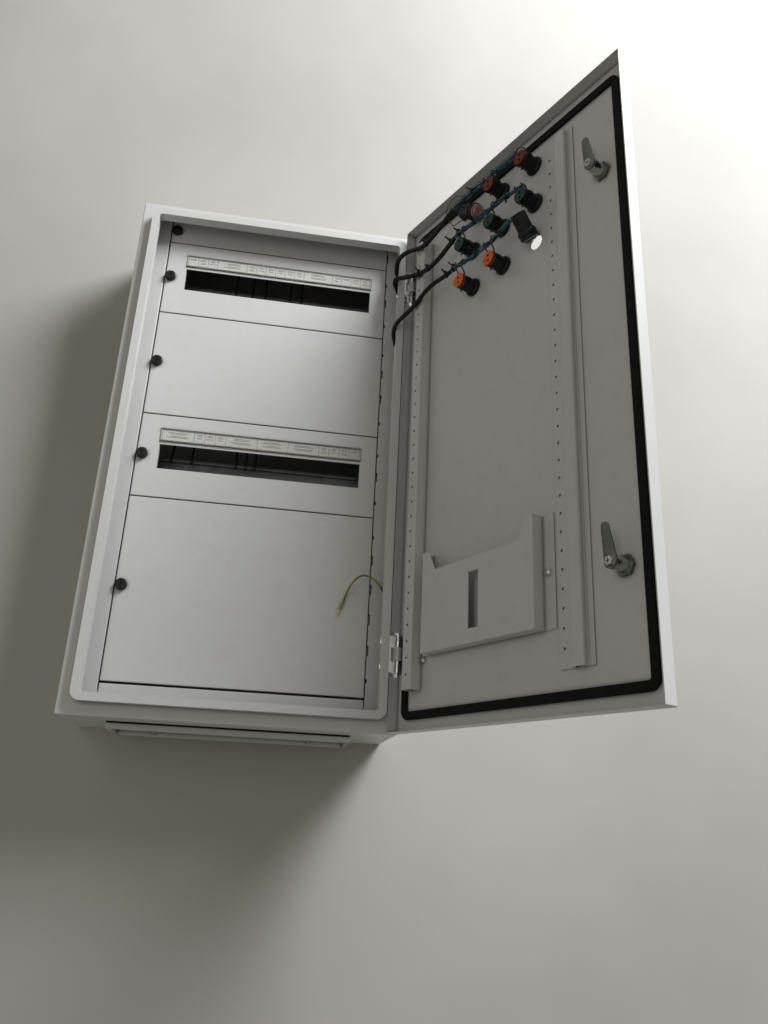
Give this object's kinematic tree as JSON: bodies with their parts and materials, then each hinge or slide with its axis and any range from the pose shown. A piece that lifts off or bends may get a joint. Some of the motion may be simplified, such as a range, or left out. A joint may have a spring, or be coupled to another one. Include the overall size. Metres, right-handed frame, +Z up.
{
  "type": "electrical distribution panel",
  "caption": "Wall-mounted steel distribution panel with hinged inner covers over its wiring space and a gasketed door that carries signal lamps, a document pocket and quarter-turn locks.",
  "frame": {"origin": "on the back face, midway between the four wall-fixing holes", "axes": "+X to the right seen from the front, +Y into the wall, +Z up; the front faces -Y"},
  "size_m": [0.7175, 0.6405, 0.921],
  "materials": {
    "cabinet_paint": "satin powder coat",
    "zinc_sheet": "galvanised",
    "zinc_fixings": "zinc plated",
    "earth_copper": "bare",
    "black_rubber": "foam",
    "black_plastic": "matte",
    "clear_plastic": "clear gloss",
    "paper": "plain paper",
    "red_plastic": "gloss",
    "green_plastic": "gloss",
    "orange_plastic": "gloss",
    "lens_plastic": "gloss",
    "blue_wire": "satin",
    "black_sheath": "satin",
    "earth_sheath": "satin"
  },
  "bodies": {
    "cabinet": {"enclosure_body": "cabinet_paint", "gland_plate": "cabinet_paint", "gland_gasket": "black_rubber", "gland_screws": "zinc_fixings", "left_strip": "cabinet_paint", "right_strip": "cabinet_paint", "bottom_strip": "cabinet_paint", "left_upright": "zinc_sheet", "right_upright": "zinc_sheet", "upper_din_rail": "zinc_sheet", "lower_din_rail": "zinc_sheet", "rail_brackets": "zinc_sheet", "earth_bar": "earth_copper", "hinge_brackets": "zinc_fixings", "hinge_pins": "zinc_fixings", "hinge_bolts": "zinc_fixings", "loom_upper": "black_sheath", "loom_middle": "black_sheath", "loom_lower": "black_sheath", "earth_wire": "earth_sheath", "inner_wires": "black_sheath"},
    "door": {"door_panel": "cabinet_paint", "door_gasket": "black_rubber", "hinge_knuckles": "cabinet_paint", "hinge_side_rail": "cabinet_paint", "lock_side_rail": "cabinet_paint", "document_pocket": "cabinet_paint", "pocket_nuts": "zinc_fixings", "lock_housings": "zinc_fixings", "lock_nuts": "zinc_fixings", "pilot_bodies": "black_plastic", "pilot_nuts": "black_plastic", "pilot_lenses": "lens_plastic", "loose_pilot_upper": "black_plastic", "loose_pilot_lower": "black_plastic", "terminals_red": "red_plastic", "terminals_green": "green_plastic", "terminals_orange": "orange_plastic", "pilot_wiring": "blue_wire", "cable_ties": "black_plastic"},
    "cover_leaf_0": {"cover_0": "cabinet_paint"},
    "knob_turn_0": {"knob_0": "black_plastic"},
    "cover_leaf_1": {"cover_1": "cabinet_paint", "label_holder_upper": "clear_plastic", "label_strip_upper": "paper"},
    "knob_turn_1": {"knob_1": "black_plastic"},
    "cover_leaf_2": {"cover_2": "cabinet_paint"},
    "knob_turn_2": {"knob_2": "black_plastic"},
    "cover_leaf_3": {"cover_3": "cabinet_paint", "label_holder_lower": "clear_plastic", "label_strip_lower": "paper"},
    "knob_turn_3": {"knob_3": "black_plastic"},
    "cover_leaf_4": {"cover_4": "cabinet_paint"},
    "knob_turn_4": {"knob_4": "black_plastic"},
    "lock_upper": {"lock_spindle_upper": "zinc_fixings", "cam_upper": "zinc_fixings", "cam_screw_upper": "zinc_fixings"},
    "lock_lower": {"lock_spindle_lower": "zinc_fixings", "cam_lower": "zinc_fixings", "cam_screw_lower": "zinc_fixings"}
  },
  "joints": [
    {"name": "door_hinge", "type": "hinge", "parent": "cabinet", "child": "door", "pos_m": [0.244, -0.1915, 0], "axis": [0, 0, 1], "range_deg": [-116, 2], "deforming": ["loom_upper", "loom_middle", "loom_lower"]},
    {"name": "cover_0_hinge", "type": "hinge", "parent": "cabinet", "child": "cover_leaf_0", "pos_m": [0.2006, -0.147, 0.425], "axis": [0, 0, 1], "range_deg": [0, 2.5]},
    {"name": "cover_1_hinge", "type": "hinge", "parent": "cabinet", "child": "cover_leaf_1", "pos_m": [0.2006, -0.147, 0.325], "axis": [0, 0, 1], "range_deg": [0, 95]},
    {"name": "cover_2_hinge", "type": "hinge", "parent": "cabinet", "child": "cover_leaf_2", "pos_m": [0.2006, -0.147, 0.15], "axis": [0, 0, 1], "range_deg": [0, 95]},
    {"name": "cover_3_hinge", "type": "hinge", "parent": "cabinet", "child": "cover_leaf_3", "pos_m": [0.2006, -0.147, -0.025], "axis": [0, 0, 1], "range_deg": [0, 95]},
    {"name": "cover_4_hinge", "type": "hinge", "parent": "cabinet", "child": "cover_leaf_4", "pos_m": [0.2006, -0.147, -0.25], "axis": [0, 0, 1], "range_deg": [0, 95], "deforming": ["earth_wire"]},
    {"name": "knob_0_turn", "type": "hinge", "parent": "cover_leaf_0", "child": "knob_turn_0", "pos_m": [-0.1905, -0.147, 0.425], "axis": [0, 1, 0], "range_deg": [-90, 0]},
    {"name": "knob_1_turn", "type": "hinge", "parent": "cover_leaf_1", "child": "knob_turn_1", "pos_m": [-0.1905, -0.147, 0.325], "axis": [0, 1, 0], "range_deg": [-90, 0]},
    {"name": "knob_2_turn", "type": "hinge", "parent": "cover_leaf_2", "child": "knob_turn_2", "pos_m": [-0.1905, -0.147, 0.15], "axis": [0, 1, 0], "range_deg": [-90, 0]},
    {"name": "knob_3_turn", "type": "hinge", "parent": "cover_leaf_3", "child": "knob_turn_3", "pos_m": [-0.1905, -0.147, -0.025], "axis": [0, 1, 0], "range_deg": [-90, 0]},
    {"name": "knob_4_turn", "type": "hinge", "parent": "cover_leaf_4", "child": "knob_turn_4", "pos_m": [-0.1905, -0.147, -0.25], "axis": [0, 1, 0], "range_deg": [-90, 0]},
    {"name": "lock_upper_turn", "type": "hinge", "parent": "door", "child": "lock_upper", "pos_m": [0.43284, -0.58894, 0.284], "axis": [-0.8988, -0.4384, 0], "range_deg": [-98, 0]},
    {"name": "lock_lower_turn", "type": "hinge", "parent": "door", "child": "lock_lower", "pos_m": [0.43284, -0.58894, -0.29], "axis": [-0.8988, -0.4384, 0], "range_deg": [-98, 0]}
  ]
}
